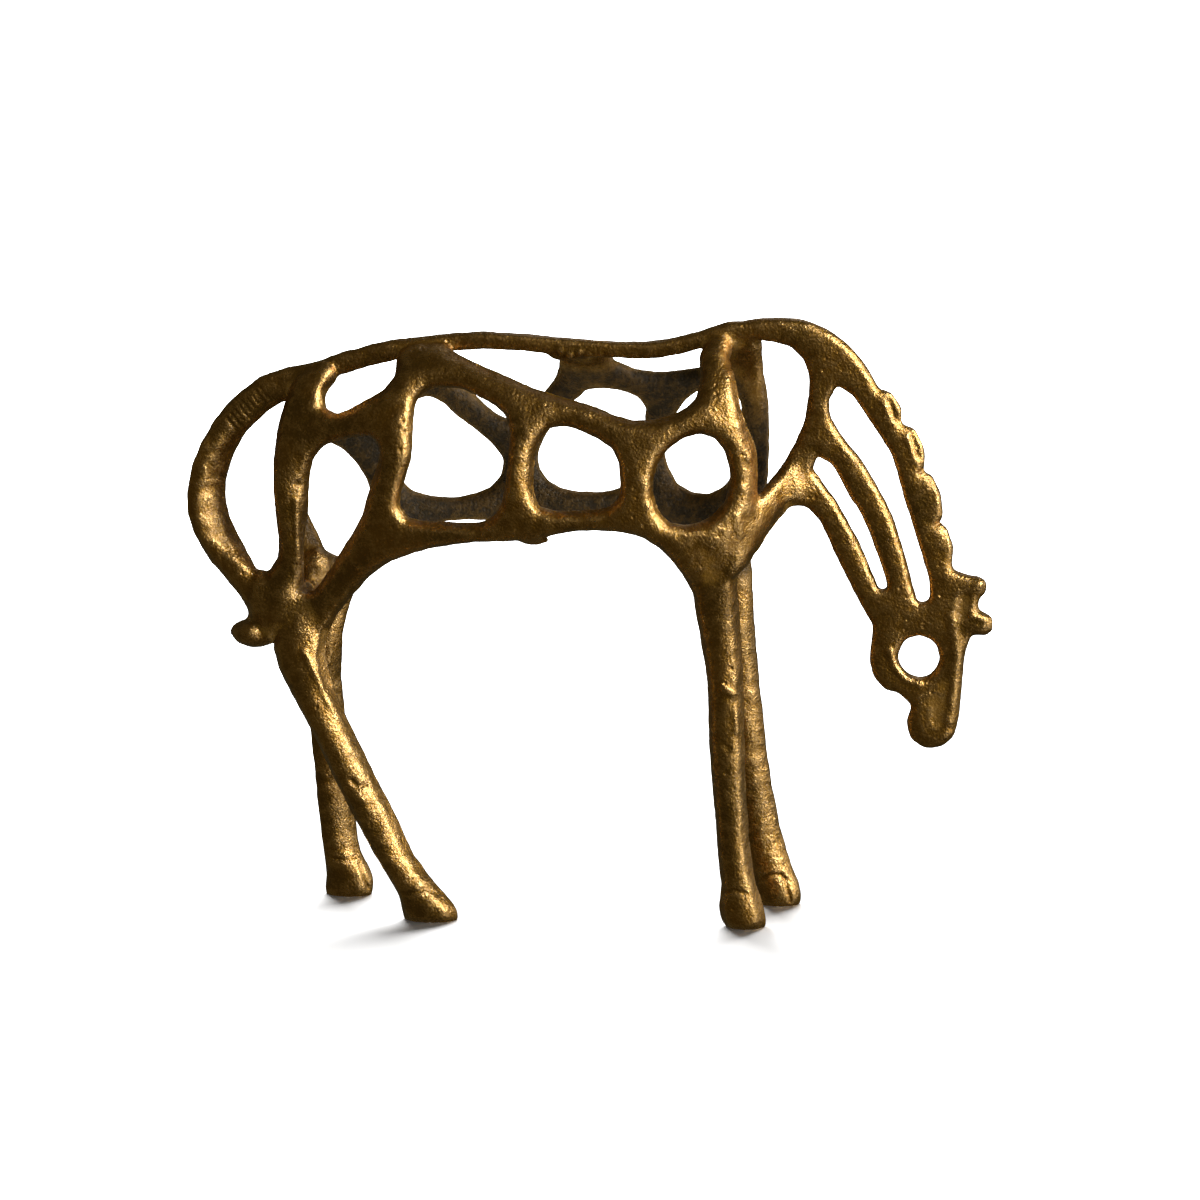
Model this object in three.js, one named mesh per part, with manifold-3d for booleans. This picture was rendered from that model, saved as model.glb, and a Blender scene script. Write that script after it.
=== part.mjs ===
// A cast metal ornament of a grazing horse, pierced through so that strands are left between the holes.
// Millimetres, +Z up, the horse faces +X, its hooves stand on Z = 0 and its middle plane is Y = 0.
import * as THREE from 'three';
import { mergeVertices } from 'three/addons/utils/BufferGeometryUtils.js';
import Module from 'manifold-3d';

const wasm = await Module();
wasm.setup();

// Driving dimensions
const wallHalfThickness = 4.3;
const edgeRounding = 4.4;
const leastRounding = 1.6;
const barrelHeight = 60;
const barrelRoundness = 2.7;
const barrelCrown = 0.78;
const bellyTuckStart = 175;
const bellyTuckDepth = 22;
const bellyTuckShare = 0.12;
const bellyTuckLimit = 1.6;
const nearSide = -1;
const farSide = 1;

// How finely the shapes are divided
const outlineStep = 6.85;
const fewestPoints = 12;
const roundingStep = 0.2;
const clearShare = 0.8;
const keptShare = 0.82;
const roundingAngles = [-90, -42, 0, 42, 90];
const legSides = 10;
const legStepsPerRow = 1.6;
const strandSides = 8;
const strandStepsPerRow = 2;
const lumpSides = 8;
const lumpRings = 6;
const normalReach = 2;
const mergeDistance = 1e-4;
const flatness = 1e-6;
const mostPasses = 60;

// Height of the middle of the spine, and half the width of the body between the two walls, along X
const spineHeights = [
  [-128, 214], [-108, 221], [-74, 229], [-40, 231.5], [0, 229], [30, 229], [55, 234], [82, 238],
];
const bodyHalfWidths = [
  [-130, 12], [-112, 15], [-95, 20], [-75, 26], [-45, 30], [0, 31.5], [35, 32], [48, 27], [58, 20],
  [66, 13], [76, 8],
];

// The near wall between its strands, as (x, z) on the barrel
const nearOutline = [
  [-115, 218.3], [-106, 221], [-98.5, 219.8], [-104, 213.9], [-105.2, 208.3], [-101.3, 203.2], [-95, 205.1],
  [-87, 209.3], [-77.6, 214.9], [-75.4, 219.3], [-74.5, 228.5], [-58, 230.5], [-53.5, 227.8],
  [-42.5, 223.4], [-32.5, 220.1], [-17, 214.6], [4.5, 209.2], [14, 205.8], [22, 204.8], [28, 205.3],
  [37.5, 208.3], [43.5, 213.3], [45, 218.8], [43.6, 226], [47, 234], [57, 235], [55.2, 228], [58.2, 219],
  [61.2, 205], [65.6, 193.5], [66.7, 178], [64.8, 162], [60, 148.5], [56, 129], [46, 129], [41.4, 138],
  [38.4, 144.2], [32.5, 153.2], [25, 159.2], [15.5, 161.8], [-7, 161.5], [-14, 159], [-28, 157], [-41, 157],
  [-53.5, 155], [-66.5, 151.3], [-80, 144.8], [-91.8, 133.2], [-102.4, 119], [-106.5, 106], [-117.5, 106],
  [-122.5, 117], [-128.5, 128.5], [-131, 134.5], [-130.4, 137.8], [-127.4, 139.4], [-124.2, 143.2],
  [-122.6, 152], [-122.9, 159.5], [-124.4, 177], [-123.4, 192.8], [-119.9, 207.8],
];
const nearThighHole = [
  [-108.6, 186.2], [-103.2, 192.1], [-89, 196], [-81.5, 196], [-80.5, 187.5], [-84.5, 176], [-88, 164.5],
  [-98, 148], [-108, 133], [-113, 129.5], [-113.6, 138], [-113, 151], [-111.3, 164.5],
];
const nearFlankHole = [
  [-67, 210.5], [-64, 214.5], [-50, 216], [-40, 212], [-31.5, 207.5], [-29, 199.5], [-29.3, 186],
  [-32.3, 171], [-37.3, 164.5], [-54, 163.5], [-68.8, 164.5], [-72.9, 168.5], [-71.3, 179.5], [-68.3, 187],
  [-67.8, 200],
];
const nearRibHole = [
  [-13.4, 202], [-9, 203], [8, 197], [12.6, 193], [14.9, 180], [12.8, 172.2], [5, 170.3], [-8.5, 169.3],
  [-15.4, 169.8], [-18.8, 173.4], [-19.7, 183], [-18.3, 196],
];
const nearShoulderHole = [
  [45.5, 200.5], [51, 198.5], [55.7, 193], [57.6, 184.5], [56.7, 174.8], [51, 167.7], [42, 164.3],
  [32.6, 166.2], [28.2, 173.4], [27.4, 182.5], [29.2, 189.9], [33.2, 194.9], [38.4, 198.8],
];

// The far wall has a pattern of its own
const farOutline = [
  [-115, 217.2], [-106, 219.7], [-99.5, 220.5], [-107.5, 212.5], [-109, 202.7], [-106, 197.3], [-97, 198.3],
  [-86, 203.8], [-76.5, 209.8], [-75.5, 218.8], [-74, 228], [-61, 230.5], [-58, 221], [-56, 211.8],
  [-51, 208.8], [-46, 202.8], [-35, 195.3], [-28.7, 195.6], [-19.7, 208.2], [-14, 216.7], [-12, 228],
  [5, 228], [8.5, 221.6], [15.5, 217.9], [26, 216.2], [36, 216.9], [44, 219.5], [46, 232], [66, 236.5],
  [67.6, 222], [69.5, 207], [69.7, 188], [68.6, 172], [66, 156], [61, 142], [60, 128], [54, 128], [46, 143],
  [36, 150.5], [20, 155.5], [0, 157.5], [-20, 156], [-42, 155], [-61, 154.5], [-74, 149], [-86, 140],
  [-95, 130], [-100, 116], [-103, 105], [-114, 105], [-118.5, 122], [-123.8, 138], [-126.7, 155],
  [-127, 173], [-126, 188], [-121.8, 206.2],
];
const farThighHole = [
  [-117.5, 177], [-116, 162.5], [-110, 149.5], [-105.5, 142], [-101.5, 141.5], [-94, 150.5], [-89.5, 163],
  [-90.5, 169.5], [-99, 183], [-104.5, 187.3], [-112, 188.8], [-117, 184.4],
];
const farFlankHole = [
  [-73, 205.4], [-65.5, 207], [-56.3, 198.2], [-46.9, 190.6], [-39.9, 183.6], [-37, 177.5], [-40.5, 169.5],
  [-53.5, 164], [-66.5, 164.5], [-77.5, 169], [-79.5, 179], [-76, 194],
];
const farRibHole = [
  [-8, 205.3], [-3, 210.3], [9.5, 210.8], [17.6, 206.8], [20.4, 201.3], [18.5, 191], [17, 179], [13, 169.4],
  [7, 167], [-12, 167], [-18.5, 169.4], [-23, 175], [-23.5, 183], [-18, 193.8],
];
const farShoulderHole = [
  [27, 182.5], [31, 171.6], [37, 166.9], [46, 166.9], [54, 172.8], [58, 181], [60, 192], [59.5, 206.8],
  [55, 213.6], [46.8, 213.4], [39, 209], [33, 201], [28.3, 192],
];

// Neck, mane and head lie in the middle plane, with the strand of the chest that carries them
const neckOutline = [
  [46, 231.5], [47, 237.5], [63.5, 241.2], [80.5, 242.1], [92.5, 238.4], [101.5, 231.8], [108.9, 223.1],
  [114.4, 213.3], [120, 204.3], [126.1, 192.4], [130.5, 180.3], [135, 166.2], [139, 152.2], [143.2, 143.2],
  [150, 140.8], [154.2, 136.2], [153.8, 129], [154.8, 122], [151.3, 116.5], [149.5, 112], [148.2, 102],
  [146.9, 84], [145.4, 76.3], [141, 71.7], [134, 70.6], [128.3, 74.3], [126.2, 81], [128.3, 88.3],
  [124, 92.2], [117.1, 94.6], [112.1, 101.9], [111.6, 110], [112.8, 119], [107.9, 128.3], [97.8, 147.9],
  [90.5, 162.8], [85.5, 167.8], [80, 168.4], [74.7, 162.5], [69.8, 156.4], [64.5, 148.4], [57, 142],
  [54, 150], [60, 164], [66, 173.5], [70.9, 177.6], [75.1, 182.7], [82.7, 195.8], [85.8, 207.3],
  [86.5, 221], [81.3, 230], [68.5, 233.7], [57, 233.5],
];
const throatSlot = [
  [90, 188.2], [95.5, 184.9], [101, 175.3], [107.8, 164], [113.6, 150], [118.2, 136.7], [117.5, 131.7],
  [114.6, 134.8], [108.1, 150], [99.9, 165.3], [91.8, 177.3], [87.2, 184],
];
const maneSlot = [
  [97.5, 216], [102, 213.5], [113, 198.5], [120, 187.2], [124.5, 170.7], [129.5, 156.7], [133.8, 141.5],
  [135.1, 131], [131.5, 127.4], [128.8, 133.5], [124.8, 147.5], [118.4, 166.5], [108.4, 184], [97.9, 198],
  [93.8, 207],
];
const eyeHole = { x: 130.9, z: 107.6, halfLength: 8.4, halfHeight: 8.8 };

// Tail and spine: centre line (x, y, z) with half the height and half the depth of the strand there
const tail = [
  [-108, 0, 217.2, 5.2, 4.8], [-118, 0, 214.2, 6.2, 5], [-128, 0, 210.4, 6.4, 5],
  [-139.2, 0, 201.2, 6.5, 5], [-148.7, -1, 187, 6.5, 5.2], [-153.2, -2, 170.5, 7.1, 5.2],
  [-151.1, -3.5, 157.5, 7.1, 5.2], [-144.7, -5, 145, 7, 5.2], [-135.8, -6.5, 133.9, 6, 5.2],
  [-130.2, -7.5, 122.5, 6, 5], [-133.3, -7, 115.3, 5.4, 4.6], [-137.4, -6.5, 112.8, 4.6, 4.2],
];
const spine = [
  [-112, 0, 216.8, 4.4, 4.8], [-95, 0, 223, 4, 5], [-75, 0, 228.2, 3.7, 5], [-43, 0, 231.9, 3.1, 5],
  [-12, 0, 230.2, 3, 5], [9, 0, 229, 2.9, 5], [27, 0, 229.2, 3, 5], [45, 0, 233.5, 3.3, 4.8],
  [56, 0, 237, 3.7, 4.6],
];

// Legs: from the top down, the middle (x, y, z) of each level section with its half length and half depth
const nearHindLeg = [
  [-115, -10.5, 131, 6, 3.4], [-115, -11.5, 119, 9, 6.4], [-115.3, -12.5, 108, 10.6, 7.5],
  [-110.3, -13.5, 93, 8.9, 7.6], [-101.6, -15, 76, 8, 7], [-93, -16, 58, 8.1, 6.8],
  [-85.1, -17, 42.5, 8.2, 6.6], [-76.7, -18, 26, 7.3, 6], [-67.2, -19, 12.5, 8.9, 7],
  [-62.9, -19, 4.8, 11.2, 7.2], [-62.3, -19, 0.5, 10.9, 5.8],
];
const farHindLeg = [
  [-108, 11.3, 133, 6, 3.4], [-108.3, 11.6, 121, 7.8, 6.2], [-109, 12.5, 107, 7.8, 7],
  [-109.1, 13.8, 92, 6.9, 6.6], [-108.2, 15, 78, 6.8, 6.2], [-106.6, 16, 60, 7, 6],
  [-105.4, 17, 44, 7.1, 6], [-104.2, 18, 28, 6.8, 5.8], [-102.8, 18.5, 18, 7.1, 6],
  [-99.9, 19, 8, 9.6, 7.2], [-100.2, 19, 3.5, 9.7, 7], [-100.4, 19, 0.5, 9.6, 5.8],
];
const nearForeLeg = [
  [50.5, -20, 152, 6.5, 3.4], [50.6, -17.8, 140, 8.8, 6.6], [51.7, -16.8, 128, 8.7, 7.2],
  [53.1, -16, 116, 7.9, 7], [55.1, -16, 97, 7.1, 6.4], [55.8, -16.5, 74, 7, 6.2],
  [57.3, -17.5, 51, 6.5, 5.8], [59.1, -18.3, 28.5, 6.5, 5.8], [61.2, -19, 16, 7, 6.4],
  [62, -19, 9, 8.8, 7.2], [62.9, -19, 3.8, 8.8, 7], [63.8, -19, 0.5, 7.8, 5.4],
];
const farForeLeg = [
  [56, 16.8, 152, 5.6, 3.4], [56.5, 15.8, 140, 7, 6], [57.4, 15, 126, 6.8, 6.4], [58.5, 15, 110, 6.6, 6.2],
  [60.4, 15.5, 92, 6.5, 6], [63.3, 16.3, 62, 6.8, 5.9], [66.6, 17.5, 38, 7.6, 5.8], [70.4, 18.5, 20, 8.2, 6],
  [73.9, 19, 10, 8.9, 7.2], [75, 19, 3.8, 9.1, 7], [74.7, 19, 0.5, 9, 5.8],
];

// Rounded lumps: middle (x, y, z), half sizes, and the tilt about Y in degrees
const lumps = {
  crotch: [[-117, 0, 124], [9, 13.5, 13], 20],
  chest: [[59, 0, 154.5], [6.4, 15, 12], -12],
  bellyNub: [[-20, -27.5, 157.8], [6, 3.5, 2.2], 0],
  spineKnot: [[-9, 0, 227.4], [8.5, 4, 3], 0],
  tailWeld: [[-128, -8, 125.6], [7.6, 7.5, 15], -12],
  tailTip: [[-133.8, -8, 113.8], [9.9, 6, 5.8], 5],
  nearWeb: [[-121, -8, 124], [10, 8.8, 17], 0],
  farWeb: [[-112.5, 8, 135], [8, 8, 12], 15],
  rearEar: [[152, 0, 136], [5, 4, 4.6], 20],
  foreEar: [[153.8, 0, 121.6], [6.4, 4, 5], 18],
};
const maneLobes = [[116.8, 205.6, 9.4], [126, 189.9, 11.5], [133, 170.8, 12.8], [137.8, 151.5, 11.5]];
const maneLobeHalfWidth = 5.7;
const maneLobeTilt = { top: 71, step: 3 };

// The lower end of the neck leans towards the near wall: how far, and where along X and Z it starts to
const chestLean = { depth: 19, startX: 86, spanX: 30, startZ: 200, spanZ: 20 };

// Interpolates a table of [x, value] rows with a smooth curve through its rows, level beyond its ends.
function station(table, x) {
  const row = (i) => table[THREE.MathUtils.clamp(i, 0, table.length - 1)];
  const slope = (i) => (row(i + 1)[1] - row(i - 1)[1]) / (row(i + 1)[0] - row(i - 1)[0]);
  const next = table.findIndex(([at]) => at >= x);
  if (next === 0) return table[0][1];
  if (next < 0) return table[table.length - 1][1];
  const [[x0, value0], [x1, value1]] = [row(next - 1), row(next)];
  const span = x1 - x0;
  const t = (x - x0) / span;
  return value0 * (1 + 2 * t) * (1 - t) ** 2 + value1 * t * t * (3 - 2 * t)
    + span * t * (1 - t) * (slope(next - 1) * (1 - t) - slope(next) * t);
}

// How far a wall stands from the middle plane at (x, z): nothing at the spine, most at mid-height.
function barrel(x, z) {
  const below = THREE.MathUtils.clamp((station(spineHeights, x) - z) / barrelHeight, 0, 1);
  const tuck = THREE.MathUtils.clamp((bellyTuckStart - z) / bellyTuckDepth, 0, bellyTuckLimit);
  const swell = (1 - (1 - below) ** barrelRoundness) ** barrelCrown;
  return station(bodyHalfWidths, x) * swell * (1 - bellyTuckShare * tuck ** 2);
}

// Places a point of a flat plate on one wall of the barrel, lifted along the wall's normal.
function onWall(side) {
  return (x, z, lift) => {
    const slopeX = (barrel(x + normalReach, z) - barrel(x - normalReach, z)) / (2 * normalReach);
    const slopeZ = (barrel(x, z + normalReach) - barrel(x, z - normalReach)) / (2 * normalReach);
    const normal = new THREE.Vector3(-slopeX, 1, -slopeZ).normalize();
    const point = new THREE.Vector3(x, barrel(x, z), z).addScaledVector(normal, lift);
    return point.multiply(new THREE.Vector3(1, side, 1));
  };
}

// Places a point of the neck's plate: in the middle plane, and leaning towards the near wall at the chest.
function onNeck(x, z, lift) {
  const back = THREE.MathUtils.smoothstep(chestLean.startX - x, 0, chestLean.spanX);
  const down = THREE.MathUtils.smoothstep(chestLean.startZ - z, 0, chestLean.spanZ);
  return new THREE.Vector3(x, lift - chestLean.depth * back * down, z);
}

// Points spaced evenly along a closed curve, counter-clockwise, or clockwise for a hole.
function closedCurve(rows, clockwise) {
  const corners = rows.map(([x, z]) => new THREE.Vector3(x, z, 0));
  const curve = new THREE.CatmullRomCurve3(corners, true, 'centripetal');
  const count = Math.max(fewestPoints, Math.round(curve.getLength() / outlineStep));
  const points = curve.getSpacedPoints(count).slice(0, count).map(({ x, y }) => new THREE.Vector2(x, y));
  return THREE.ShapeUtils.isClockWise(points) === clockwise ? points : points.reverse();
}

// The control points of an oval hole.
function oval({ x, z, halfLength, halfHeight }) {
  const curve = new THREE.EllipseCurve(x, z, halfLength, halfHeight);
  return curve.getPoints(fewestPoints).slice(0, fewestPoints).map((point) => [point.x, point.y]);
}

// Unit vectors that point from a closed outline into the metal, which lies on its left.
function inwards(points) {
  return points.map((_, i) => {
    const before = points[(i + points.length - 1) % points.length];
    const after = points[(i + 1) % points.length];
    const along = after.clone().sub(before).normalize();
    return new THREE.Vector2(-along.y, along.x);
  });
}

// The distance from a point to the nearest edge of the contours.
function clearance({ x, y }, contours) {
  return contours.reduce((least, points) => points.reduce((nearest, a, i) => {
    const b = points[(i + 1) % points.length];
    const [dx, dy] = [b.x - a.x, b.y - a.y];
    const t = THREE.MathUtils.clamp(((x - a.x) * dx + (y - a.y) * dy) / (dx * dx + dy * dy), 0, 1);
    return Math.min(nearest, Math.hypot(x - a.x - t * dx, y - a.y - t * dy));
  }, least), Infinity);
}

// How far the rounded edge reaches into the metal at each point, short of the middle of its strand.
function reaches(points, contours) {
  const normals = inwards(points);
  const free = points.map((point, i) => {
    let reach = edgeRounding / keptShare;
    while (reach > leastRounding) {
      const tip = point.clone().addScaledVector(normals[i], reach);
      if (clearance(tip, contours) > clearShare * reach) break;
      reach -= roundingStep;
    }
    return keptShare * reach;
  });
  return free.map((reach, i) => Math.min(free.at(i - 1), reach, free[(i + 1) % free.length]));
}

// Moves every point of a closed outline into the metal by a share of its own reach.
function inset({ points, normals, reach }, share) {
  return points.map((point, i) => point.clone().addScaledVector(normals[i], share * reach[i]));
}

// Is d inside the circle through the counter-clockwise triangle a, b, c?
function inCircle(a, b, c, d) {
  const rows = [a, b, c].map((p) => [p.x - d.x, p.y - d.y, (p.x - d.x) ** 2 + (p.y - d.y) ** 2]);
  return new THREE.Matrix3().set(...rows[0], ...rows[1], ...rows[2]).determinant() > flatness;
}

// Turns the diagonals of neighbouring faces until each face is as compact as it can be.
function compactFaces(points, faces) {
  const turnsLeft = (a, b, c) => (b.x - a.x) * (c.y - a.y) - (b.y - a.y) * (c.x - a.x) > flatness;
  for (let pass = 0, changed = true; changed && pass < mostPasses; pass += 1) {
    changed = false;
    const owner = new Map();
    faces.forEach((face, f) => face.forEach((v, k) => owner.set(`${v},${face[(k + 1) % 3]}`, f)));
    const touched = new Set();
    faces.forEach((face, f) => {
      for (let k = 0; k < 3 && !touched.has(f); k += 1) {
        const [a, b, c] = [face[k], face[(k + 1) % 3], face[(k + 2) % 3]];
        const g = owner.get(`${b},${a}`);
        if (g === undefined || touched.has(g)) continue;
        const d = faces[g].find((v) => v !== a && v !== b);
        const [pa, pb, pc, pd] = [a, b, c, d].map((v) => points[v]);
        if (!inCircle(pa, pb, pc, pd) || !turnsLeft(pa, pd, pc) || !turnsLeft(pd, pb, pc)) continue;
        faces[f] = [a, d, c];
        faces[g] = [d, b, c];
        touched.add(f).add(g);
        changed = true;
      }
    });
  }
  return faces;
}

// Makes a solid from vertices and faces, turned outwards if it came inside out.
function solidFrom(vertices, faces) {
  const wedge = ([a, b, c]) => vertices[a].dot(vertices[b].clone().cross(vertices[c]));
  const volume = faces.reduce((sum, face) => sum + wedge(face), 0);
  const triangles = volume > 0 ? faces : faces.map(([a, b, c]) => [a, c, b]);
  return new wasm.Manifold(new wasm.Mesh({
    numProp: 3,
    vertProperties: new Float32Array(vertices.flatMap((v) => v.toArray())),
    triVerts: new Uint32Array(triangles.flat()),
  }));
}

// A plate with rounded edges and holes, laid by the function place.
function plate(outline, holes, place) {
  const curves = [closedCurve(outline, false), ...holes.map((hole) => closedCurve(hole, true))];
  const contours = curves.map((points) => (
    { points, normals: inwards(points), reach: reaches(points, curves) }
  ));
  const vertices = [];
  const rings = roundingAngles.map((degrees) => {
    const angle = THREE.MathUtils.degToRad(degrees);
    const start = vertices.length;
    contours.forEach((contour) => {
      inset(contour, 1 - Math.cos(angle)).forEach(({ x, y }) => {
        vertices.push(place(x, y, wallHalfThickness * Math.sin(angle)));
      });
    });
    return start;
  });
  const faces = [];
  let first = 0;
  curves.forEach((points) => {
    points.forEach((_, i) => {
      const here = first + i;
      const next = first + ((i + 1) % points.length);
      rings.slice(1).forEach((upper, k) => {
        const lower = rings[k];
        faces.push([lower + here, lower + next, upper + next], [lower + here, upper + next, upper + here]);
      });
    });
    first += points.length;
  });
  const flat = contours.map((contour) => inset(contour, 1));
  const cap = compactFaces(flat.flat(), THREE.ShapeUtils.triangulateShape(flat[0], flat.slice(1)));
  cap.forEach(([a, b, c]) => {
    const [bottom, top] = [rings[0], rings.at(-1)];
    faces.push([top + a, top + b, top + c], [bottom + a, bottom + c, bottom + b]);
  });
  return solidFrom(vertices, faces);
}

// Turns a closed three.js geometry into a solid.
function solid(geometry) {
  ['normal', 'uv'].forEach((name) => geometry.deleteAttribute(name));
  const { attributes: { position }, index } = mergeVertices(geometry, mergeDistance);
  const vertex = (_, i) => new THREE.Vector3().fromBufferAttribute(position, i);
  const vertices = Array.from({ length: position.count }, vertex);
  const face = (_, i) => [0, 1, 2].map((k) => index.getX(3 * i + k));
  const faces = Array.from({ length: index.count / 3 }, face);
  return solidFrom(vertices, faces);
}

// Bends a cylinder through rows of middle points and half sizes; section places the points of each section.
function bentCylinder(rows, sides, steps, section) {
  const through = (points) => new THREE.CatmullRomCurve3(points, false, 'centripetal');
  const path = through(rows.map(([x, y, z]) => new THREE.Vector3(x, y, z)));
  const sizes = through(rows.map(([, , , half, halfDepth]) => new THREE.Vector3(half, halfDepth, 0)));
  const geometry = new THREE.CylinderGeometry(1, 1, 1, sides, steps);
  const position = geometry.attributes.position;
  for (let i = 0; i < position.count; i += 1) {
    const along = THREE.MathUtils.clamp(0.5 - position.getY(i), 0, 1);
    const place = section(path, along, sizes.getPoint(along), position.getX(i), position.getZ(i));
    position.setXYZ(i, place.x, place.y, place.z);
  }
  return solid(geometry);
}

// A leg: level sections, so that its sole is flat.
function leg(rows) {
  const steps = Math.round(legStepsPerRow * (rows.length - 1));
  return bentCylinder(rows, legSides, steps, (path, along, size, across, deep) => (
    path.getPoint(along).add(new THREE.Vector3(across * size.x, deep * size.y, 0))
  ));
}

// A strand of the middle plane: sections square to its path, across in X and Z and deep in Y.
function strand(rows) {
  const steps = strandStepsPerRow * (rows.length - 1);
  return bentCylinder(rows, strandSides, steps, (path, along, size, across, deep) => {
    const tangent = path.getTangent(along);
    const side = new THREE.Vector3(-tangent.z, 0, tangent.x).normalize();
    const deepwards = new THREE.Vector3(0, deep * size.y, 0);
    return path.getPoint(along).addScaledVector(side, -across * size.x).add(deepwards);
  });
}

// A rounded lump.
function lump([[x, y, z], halfSizes, tilt]) {
  const geometry = new THREE.SphereGeometry(1, lumpSides, lumpRings);
  geometry.scale(...halfSizes).rotateY(THREE.MathUtils.degToRad(tilt)).translate(x, y, z);
  return solid(geometry);
}

// The locks along the crest of the neck, each overlapping the next.
function maneLocks() {
  return maneLobes.map(([x, z, halfLength], i) => {
    const halfSizes = [halfLength, wallHalfThickness, maneLobeHalfWidth];
    return lump([[x, 0, z], halfSizes, maneLobeTilt.top + i * maneLobeTilt.step]);
  });
}

// Joins every part of the casting into one solid.
function casting() {
  const walls = [
    plate(nearOutline, [nearThighHole, nearFlankHole, nearRibHole, nearShoulderHole], onWall(nearSide)),
    plate(farOutline, [farThighHole, farFlankHole, farRibHole, farShoulderHole], onWall(farSide)),
  ];
  const neck = plate(neckOutline, [throatSlot, maneSlot, oval(eyeHole)], onNeck);
  const middle = [neck, strand(tail), strand(spine)];
  const legs = [nearHindLeg, farHindLeg, nearForeLeg, farForeLeg].map(leg);
  const parts = [...walls, ...middle, ...legs, ...Object.values(lumps).map(lump), ...maneLocks()];
  return parts.reduce((whole, part) => whole.add(part));
}

// The mesh of a solid, moved so that the middle of its underside is the origin.
function meshOf(name, shape, material) {
  const { vertProperties, triVerts } = shape.getMesh();
  const geometry = new THREE.BufferGeometry();
  geometry.setAttribute('position', new THREE.BufferAttribute(Float32Array.from(vertProperties), 3));
  geometry.setIndex([...triVerts]);
  geometry.computeBoundingBox();
  const { min, max } = geometry.boundingBox;
  geometry.translate(-(min.x + max.x) / 2, -(min.y + max.y) / 2, -min.z);
  geometry.computeVertexNormals();
  const mesh = new THREE.Mesh(geometry, material);
  mesh.name = name;
  return mesh;
}

const antiqueBrass = new THREE.MeshStandardMaterial({ color: 0x7a5424, roughness: 0.38, metalness: 1 });

const horse = new THREE.Group();
horse.add(meshOf('horse', casting(), antiqueBrass));

export default horse;
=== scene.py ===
"""The looks of an openwork brass horse: its cast surface, its patina and the studio it stands in.

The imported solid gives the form. A copy of it is rounded as poured metal rounds, its hanging strands
are turned a little towards the head, its near shoulder is bowed outwards, and it is tooled at the
mane, the head, the legs, the tail and the posts. Then a relief roughens the whole surface, and it is
thinned to one mesh. Lengths are in metres, but for the tool marks, which are in millimetres. Both are
in the frame of the solid: +X towards the head, +Z up, and the near side, which the camera sees,
towards -Y.
"""

from __future__ import annotations

import logging
import math
from dataclasses import dataclass, field
from enum import Enum

import bmesh
import bpy
import numpy as np
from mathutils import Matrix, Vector

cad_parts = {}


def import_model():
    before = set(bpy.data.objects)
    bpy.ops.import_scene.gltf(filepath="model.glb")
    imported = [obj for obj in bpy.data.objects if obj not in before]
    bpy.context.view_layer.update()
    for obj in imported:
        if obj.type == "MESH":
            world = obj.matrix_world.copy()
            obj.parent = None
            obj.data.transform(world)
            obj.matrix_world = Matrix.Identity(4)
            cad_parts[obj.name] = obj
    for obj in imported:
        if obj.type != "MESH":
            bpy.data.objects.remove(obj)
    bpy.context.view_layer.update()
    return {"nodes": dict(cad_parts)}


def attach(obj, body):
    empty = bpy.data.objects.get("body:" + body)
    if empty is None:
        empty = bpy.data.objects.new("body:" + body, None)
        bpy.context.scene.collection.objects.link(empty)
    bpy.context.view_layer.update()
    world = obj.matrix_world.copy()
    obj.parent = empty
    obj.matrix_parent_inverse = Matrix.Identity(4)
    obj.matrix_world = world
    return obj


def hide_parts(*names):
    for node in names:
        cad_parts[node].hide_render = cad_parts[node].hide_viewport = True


MM = 0.001
TINY = 1e-18
NODE = "horse"
SLOT = "antique_brass"
BODY = "root"

log = logging.getLogger("horse")


class Wall(Enum):
    """A face of the casting that a tool mark can lie on, as (half, facing) along Y."""

    NEAR_OUTSIDE = (-1, -1)
    FAR_OUTSIDE = (1, 1)
    FAR_INSIDE = (1, -1)
    MIDDLE_NEAR = (0, -1)
    MIDDLE_FAR = (0, 1)


BOTH_SIDES = (Wall.MIDDLE_NEAR, Wall.MIDDLE_FAR)


@dataclass(frozen=True)
class Mark:
    """One tool mark on the casting, in millimetres.

    Attributes:
        line: the points (x, z) that it follows.
        half_width: how far it reaches on each side of its line.
        height: how far it rises, or sinks below zero.
        wall: the face that it lies on.
    """

    line: tuple[tuple[float, float], ...]
    half_width: float
    height: float
    wall: Wall


@dataclass(frozen=True)
class Twist:
    """A hanging strand whose broad side is turned towards the head.

    Attributes:
        name: the strand.
        x_range: the box that holds it, along X.
        y_range: the same along Y.
        z_range: the same along Z.
        fade: the length over which the turn grows and dies away at its two ends.
        amount: how far it turns, as the shift along Y for each metre from its middle line.
    """

    name: str
    x_range: tuple[float, float]
    y_range: tuple[float, float]
    z_range: tuple[float, float]
    fade: float
    amount: float


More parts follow.
